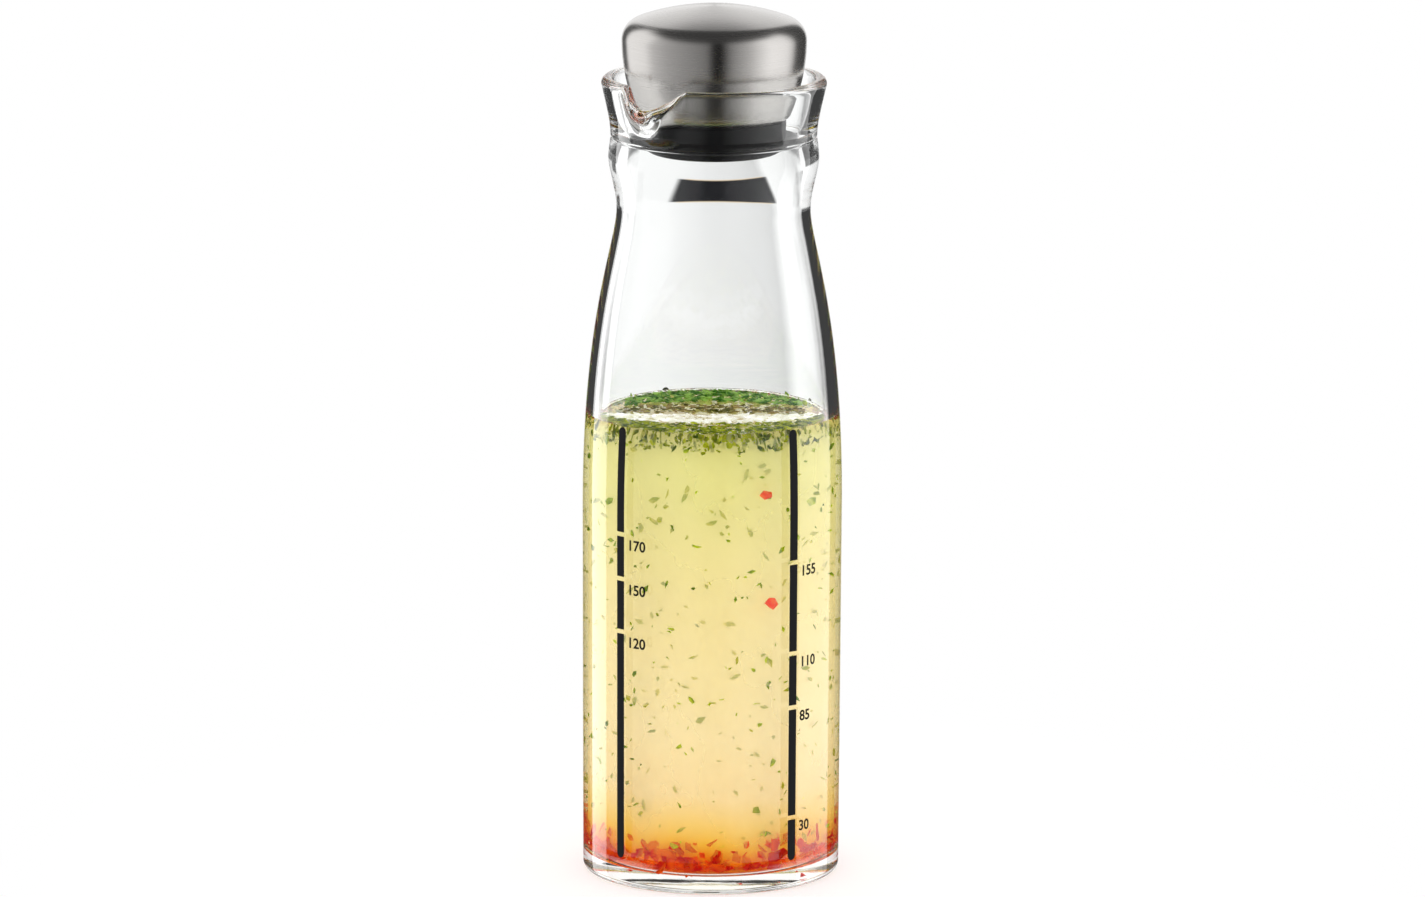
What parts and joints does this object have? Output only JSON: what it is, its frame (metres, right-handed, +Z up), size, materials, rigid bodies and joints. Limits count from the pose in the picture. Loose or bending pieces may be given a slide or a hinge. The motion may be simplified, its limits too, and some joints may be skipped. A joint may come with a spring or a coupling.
{
  "type": "dressing shaker bottle",
  "caption": "Clear glass shaker bottle with a flared pouring lip, a ring bead under the collar and a steel-capped stopper with a black sealing plug that lifts out.",
  "frame": {"origin": "centre of the foot ring, on the surface that the bottle stands on", "axes": "+Z up along the bottle's axis; -Y is the front between two printed scales; the pouring lip points to -X -Y"},
  "size_m": [0.0582, 0.0582, 0.1962],
  "materials": {
    "clear_glass": "clear polished glass",
    "brushed_cap": "stainless steel brushed round the axis",
    "black_plastic": "moulded black plastic",
    "black_silicone": "smooth black silicone",
    "scale_print": "black ink fired on the glass",
    "dressing": "oily yellow dressing with herbs and pepper flakes"
  },
  "bodies": {
    "bottle": {"bottle": "clear_glass"},
    "stopper": {"cap_shell": "brushed_cap", "cap_insert": "black_plastic", "seal_sleeve": "black_silicone", "plug_disc": "black_plastic"}
  },
  "joints": [
    {"name": "stopper_lift", "type": "slide", "parent": "bottle", "child": "stopper", "axis": [0, 0, 1], "range_m": [0, 0.04]}
  ]
}
